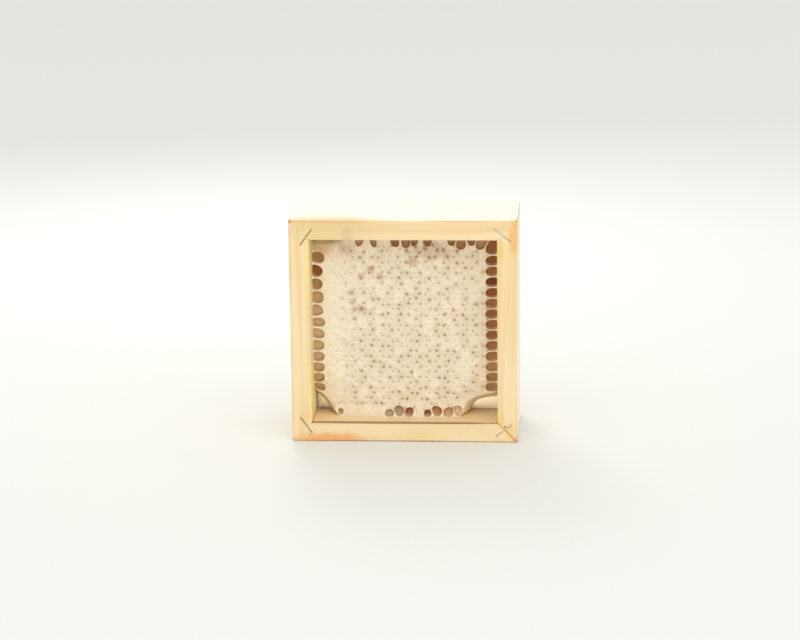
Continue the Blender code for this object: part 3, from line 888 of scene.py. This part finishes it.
# %% Seeps and stains
SEEPS = ((-17.2, 87.7), (-22.3, 83.8), (-12.4, 83.6), (-27.3, 75.3), (-27, 70.1), (-25.9, 66.8), (-22, 66.8))
SEEP_RADIUS = 2.2 * MM
THIN_CAP = (4.3 * MM, 91.2 * MM)
THIN_CAP_RADIUS = 3.6 * MM
THIN_CAP_SUNK = 0.5 * MM
DRY_CORNER = (-43 * MM, 98.5 * MM)
DRY_CORNER_RADIUS = 6 * MM
FOOT_SMEAR = 5 * MM
PALE_STRIP_X, PALE_STRIP_REACH = -38 * MM, 9 * MM
SLOPE_BEHIND = (RAIL + 13 * MM, -3 * MM)


def fade(distance, reach):
    """1 at a place, easing to 0 at its reach."""
    return max(0.0, 1 - (distance / reach) ** 2)


def age_wax(bm, traces, facing):
    """Adds what has happened to the wax to the traces, and the painted shade and painted highlight at the top
    left free edge. Every place is given as seen from the front.
    """
    pit, seep, blush, tone = (traces[trace] for trace in TRACES)
    for vertex in bm.verts:
        x, z = vertex.co.x if facing == "front" else -vertex.co.x, vertex.co.y
        for seep_x, seep_z in SEEPS:
            near = fade(math.hypot(x - seep_x * MM, z - seep_z * MM), SEEP_RADIUS)
            vertex[seep] = max(vertex[seep], near * (0.3 + 0.7 * vertex[pit]))
        around = math.atan2(z - THIN_CAP[1], x - THIN_CAP[0])
        star = THIN_CAP_RADIUS * (1 + 0.3 * math.cos(6 * around))
        thin = fade(math.hypot(x - THIN_CAP[0], z - THIN_CAP[1]), star)
        vertex[seep] = max(vertex[seep], 0.5 * thin)
        vertex.co.z -= THIN_CAP_SUNK * thin
        dry = fade(math.hypot(x - DRY_CORNER[0], z - DRY_CORNER[1]), DRY_CORNER_RADIUS)
        dry_corner = dry if vertex.co.z > -1.5 * MM else 0
        foot = fade(max(0, z - RAIL), FOOT_SMEAR)
        vertex[blush] = max(vertex[blush], dry_corner, 0.35 * foot)
        vertex[pit] = max(vertex[pit], 0.22 * foot)
        # At the top left free edge, the last one listed: an olive band of painted shade along the edge, and
        # the slope inside the empty corner painted the palest tone, a painted highlight.
        *_, (_, _, _, out) = about_free_edges(x, z, "front")
        if out < 1.03:
            vertex[tone] = LIP_TONE if out < 0.9 else 0.0
            vertex[pit] = 0.0 if out < 0.9 else 0.5
            vertex[blush] = 0.0
        if x < 0 and z < SLOPE_BEHIND[0] and vertex.co.z < SLOPE_BEHIND[1]:
            vertex[blush] = 0.5
        strip = fade(x - PALE_STRIP_X, PALE_STRIP_REACH)
        vertex[tone] = max(vertex[tone], 1.1 * strip - 0.3)


# %% [markdown]
# ## A whole side of the comb
#
# The sheet's border is drawn back to the middle of the comb in steps, which makes the free edges and closes
# the piece against the wood. A Solidify modifier would do it too, but its edge would be square all round.
# Bees never build flat: the middle of each face bulges, and slow noise gives the surface the waver of real
# comb. Last, the side is stood up and turned to face front or back.

# %% Bulge and waver
FACE_OUT = -comb_low.y - 0.6 * MM
BULGE = 2.2 * MM
FOOT = 2.4 * MM
FOOT_HEIGHT = 4.5 * MM
FREE_EDGE_FALL = 2.2 * MM
FREE_EDGE_SLOPE = 14.0 * MM
print("the face stands", round(FACE_OUT / MM, 2), "mm out from the middle of the comb")


def fall_back(x, z, facing):
    """How far the comb's face lies behind its middle: more towards the side rails and near a free edge, less
    at the foot, where wax has been smeared out over the bottom rail."""
    back = BULGE * min(1, abs(x / OPENING_HALF)) ** 4
    back -= FOOT * max(0, 1 - max(0, z - RAIL) / FOOT_HEIGHT) ** 2
    for _, across, upwards, out in about_free_edges(x, z, facing):
        gap = math.hypot(across, upwards) * (1 - 1 / out)
        back += FREE_EDGE_FALL * max(0, 1 - max(0, gap) / FREE_EDGE_SLOPE) ** 2
    return back


def waver(x, z):
    """The comb's slow unevenness, with a finer one over it."""
    slow = noise.noise(Vector((x, z, 0.3)) / (11 * MM))
    fine = noise.noise(Vector((x, z, 7.1)) / (2.2 * MM))
    return 0.35 * MM * slow + 0.13 * MM * fine


# %% Border of a side
MIDDLE_OVERLAP = 0.4 * MM
SKIRT = (0.05, 0.15, 0.4, 0.7, 1.0)
EDGE_NEAR = 3.0 * MM
AT_WOOD = 1.0 * MM


def spread_of_edge(x, z, facing):
    """Which way and how far a point on a free edge moves by the middle of the comb, along its wood if it
    touches any, and how soon. Points away from the free edges stay."""
    for edge, across, upwards, out in about_free_edges(x, z, facing):
        length = math.hypot(across, upwards)
        nearness = min(1, 2 - 2 * abs(length * (1 - 1 / out)) / EDGE_NEAR)
        if nearness > 0:
            to_left = 1 if (edge.side == "left") == (facing == "front") else -1
            to_bottom = 1 if edge.level == "bottom" else -1
            move = Vector((-to_left * across, -to_bottom * upwards, 0)) * edge.spread * nearness / length
            if across < AT_WOOD:
                move.x = 0
            if upwards < AT_WOOD:
                move.y = 0
            return move, edge.haste
    return Vector((0, 0, 0)), 1


def spot_of(vertex):
    """Where a point lies on the sheet, to the nearest micrometre."""
    return round(vertex.co.x, 6), round(vertex.co.y, 6)


def put_in_order(elements, old):
    """Some operators list what they make in a different order each time, which would change the random draws
    that follow. The new elements are sorted by their middles, so that every run gives the same comb."""
    middles = {e: sum((v.co for v in e.verts), Vector()) / len(e.verts) for e in elements if e not in old}
    new = iter(sorted(middles, key=lambda e: tuple(round(value, 6) for value in middles[e])))
    ranks = {e if e in old else next(new): rank for rank, e in enumerate(elements)}
    elements.sort(key=ranks.get)


def draw_back_border(bm, facing):
    """Draws the border of the sheet back to the middle of the comb, and closes it there. Free edges slope
    outwards on the way, because the comb is thinnest there."""
    before_edges, before_faces = set(bm.edges), set(bm.faces)
    rim = [edge for edge in bm.edges if edge.is_boundary]
    spread = {}
    for vertex in dict.fromkeys(v for edge in rim for v in edge.verts):
        spread[spot_of(vertex)] = spread_of_edge(vertex.co.x, vertex.co.y, facing)
    before = 0.0
    for fraction in SKIRT:
        made = bmesh.ops.extrude_edge_only(bm, edges=rim)["geom"]
        moved = {}
        for vertex in (v for v in made if isinstance(v, bmesh.types.BMVert)):
            move, haste = spread[spot_of(vertex)]
            vertex.co += move * ((1 - before) ** haste - (1 - fraction) ** haste)
            vertex.co.z = -(FACE_OUT + MIDDLE_OVERLAP) * fraction
            moved[spot_of(vertex)] = (move, haste)
        spread = moved
        before = fraction
        rim = [e for e in made if isinstance(e, bmesh.types.BMEdge) and e.is_boundary]
    bmesh.ops.contextual_create(bm, geom=rim)
    put_in_order(bm.edges, before_edges)
    put_in_order(bm.faces, before_faces)


# %% A finished side
def stand_up(bm, facing):
    """Turns a flat-modelled side upright, with its mouths towards the front or the back."""
    turn = Matrix.Rotation(math.pi / 2, 4, "X")
    if facing == "back":
        turn = Matrix.Rotation(math.pi, 4, "Z") @ turn
    bmesh.ops.transform(bm, matrix=turn, verts=bm.verts)
    bmesh.ops.recalc_face_normals(bm, faces=bm.faces)


def rounded_piece(bm, name, material):
    """A finished bmesh as a smooth-shaded object, rounded by one level of subdivision."""
    for face in bm.faces:
        face.smooth = True
    piece = object_from(bm, name, material)
    rounding = piece.modifiers.new("rounding", "SUBSURF")
    rounding.levels = 1
    rounding.render_levels = 1
    return piece


def comb_side(name, facing, cells, material):
    """One side of the comb, from its sheet of mouths to the finished piece."""
    chance = random.Random(name)
    bm, cell_number = mouth_sheet(cells, facing)
    traces = {trace: bm.verts.layers.float[trace] for trace in TRACES}
    caps = [f for f in bm.faces if f[cell_number] >= 0 and cells[f[cell_number]].mouth == "capped"]
    mouths = [f for f in bm.faces if f[cell_number] >= 0 and cells[f[cell_number]].mouth != "capped"]
    draw_back_border(bm, facing)
    pit_count = sink_pits(bm, cells, cell_number, traces, chance)
    raise_caps(bm, caps, cell_number, traces, chance)
    open_mouths(bm, mouths, cells, cell_number, traces)
    age_wax(bm, traces, facing)
    for vertex in bm.verts:
        x, z = vertex.co.x, vertex.co.y
        if vertex.co.z > -0.5 * FACE_OUT:
            vertex.co.z += waver(x, z) - fall_back(x, z, facing)
        vertex.co.z += FACE_OUT
    stand_up(bm, facing)
    piece = rounded_piece(bm, name, material)
    print(f"{name}: {len(caps)} caps, {len(mouths)} open, {pit_count} pits, {len(piece.data.polygons)} faces")
    return piece


# %% [markdown]
# ## The wax
#
# Comb wax is fresh beeswax: pale cream where it is a thin lid over honey, rosier and a little see-through
# where it stands alone as a lip or a wall, olive brown down in the pits, and red brown where honey has
# seeped. Its surface is satin, with faint patches and small crumbs. Light goes a little way into wax before
# it comes back, so the shader scatters it about a millimetre below the surface. Noise alone can't know where
# a pit or a lip is, so the traces left on the points say where each colour goes.

# %% Beeswax
WAX_PATCH = 7.7 * MM
WAX_CRUMB = 1.47 * MM


def beeswax(name):
    """Comb wax, in patches and crumbs, with the colours that the traces bring out."""
    material, tree, shader = new_material(name)
    place = add(tree, "ShaderNodeTexCoord").outputs["Object"]
    patches, crumbs = (
        add(tree, "ShaderNodeTexNoise", {"Vector": place, "Scale": 1 / size, "Detail": 3.0}).outputs["Fac"]
        for size in (WAX_PATCH, WAX_CRUMB)
    )
    pit, seep, blush, tone = (
        add(tree, "ShaderNodeAttribute", attribute_name=trace).outputs["Fac"] for trace in TRACES
    )
    # The palest tone is also painted highlight: on the pit rims and on the slope at the top left free edge.
    grown = (
        (patches, 0.35, 0.65, 1.0, "F2E1C6"),
        (tone, -2.5, 2.5, 1.0, "F6EBD4"),
        (crumbs, 0.5, 0.75, 0.6, "DCC6A0"),
        (tone, 1.6, 2.9, 1.0, "FFEEDC"),
    )
    colour = painted(tree, linear("F1E3C7"), grown)
    # The pit colour is also painted shade, in a band along the top left free edge.
    marks = [(blush, "DFBC90"), (pit, "B69F79"), (seep, "A4583C")]
    marks = [(trace, 0.0, 1.0, 1.0, hex_colour) for trace, hex_colour in marks]
    colour = painted(tree, colour, marks, easing="LINEAR")
    tree.links.new(colour, shader.inputs["Base Color"])
    shader.inputs["Roughness"].default_value = 0.5
    shader.inputs["IOR"].default_value = 1.44
    shader.inputs["Subsurface Weight"].default_value = 0.3
    shader.inputs["Subsurface Radius"].default_value = (1.0, 0.6, 0.35)
    shader.inputs["Subsurface Scale"].default_value = 0.0012
    bump = add(tree, "ShaderNodeBump", {"Height": crumbs, "Strength": 0.7, "Distance": 0.3 * MM})
    tree.links.new(bump.outputs[0], shader.inputs["Normal"])
    return material


wax = beeswax("fresh_beeswax")

# %% Comb pieces
sides = {"front": front_cells, "back": comb_cells("back")}
for facing, cells in sides.items():
    piece = comb_side(f"comb_{facing}", facing, cells, wax)
    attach(piece, "root")
    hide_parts("comb")

# %% [markdown]
# ## The honey
#
# Honey stands in the open cells a few millimetres below the lip, and creeps a little way up the walls all
# round. One flat sheet of honey would cut through the wavy wax, so each cell gets a plug, a closed piece
# that reaches just into the walls so that no gap shows. The plugs start from the same sheet of mouths as the
# wax, so they fit it. Raw honey is glossy and cloudy: a smooth surface, and light that scatters below it,
# red deepest. Clear glassy honey would show the bottoms of the cells, which this comb doesn't.

# %% Honey plugs
PLUG = 1.4 * MM
INTO_WALL = 0.12 * MM
MENISCUS = 0.3 * MM


def honey_plugs(name, facing, cells, material):
    """The plugs of honey in all open cells of one side. Each top is a little hollow."""
    bm, cell_number = mouth_sheet(cells, facing)
    kept = [f for f in bm.faces if f[cell_number] >= 0 and cells[f[cell_number]].mouth == "open"]
    shut = [face for face in bm.faces if face not in set(kept)]
    bmesh.ops.delete(bm, geom=shut, context="FACES")
    trimmed = bmesh.ops.inset_individual(bm, faces=kept, thickness=LIP - INTO_WALL, use_even_offset=True)
    bmesh.ops.delete(bm, geom=trimmed["faces"], context="FACES")
    tone = bm.verts.layers.float["tone"]
    for face in kept:
        cell = cells[face[cell_number]]
        for vertex in face.verts:
            vertex[tone] = cell.tone
            vertex.co.z = FACE_OUT - cell.depth - fall_back(vertex.co.x, vertex.co.y, facing) - PLUG
    undersides = bm.verts[:] + bm.edges[:] + bm.faces[:]
    tops = bmesh.ops.extrude_face_region(bm, geom=undersides, use_keep_orig=True)["geom"]
    tops = [face for face in tops if isinstance(face, bmesh.types.BMFace)]
    for face in tops:
        for vertex in face.verts:
            vertex.co.z += PLUG
    for face in bmesh.ops.extrude_discrete_faces(bm, faces=tops)["faces"]:
        draw_in(face, 0.75)
        for vertex in face.verts:
            vertex.co.z -= MENISCUS
    stand_up(bm, facing)
    return rounded_piece(bm, name, material)


def honey(name):
    """Raw honey, from deep red brown to light tan by each cell's tone."""
    material, tree, shader = new_material(name)
    tone = add(tree, "ShaderNodeAttribute", attribute_name="tone").outputs["Fac"]
    lighter = ((tone, 0.0, 0.4, 1.0, "BE8050"), (tone, 0.35, 1.0, 1.0, "F0D5AA"))
    colour = painted(tree, linear("8E4C2A"), lighter)
    tree.links.new(colour, shader.inputs["Base Color"])
    shader.inputs["Roughness"].default_value = 0.15
    shader.inputs["IOR"].default_value = 1.49
    shader.inputs["Specular IOR Level"].default_value = 0.25
    shader.inputs["Subsurface Weight"].default_value = 0.4
    shader.inputs["Subsurface Radius"].default_value = (1.0, 0.4, 0.12)
    shader.inputs["Subsurface Scale"].default_value = 0.002
    return material


amber = honey("raw_honey")
for facing, cells in sides.items():
    piece = honey_plugs(f"honey_{facing}", facing, cells, amber)
    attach(piece, "root")
    print(piece.name, len(piece.data.polygons), "faces")
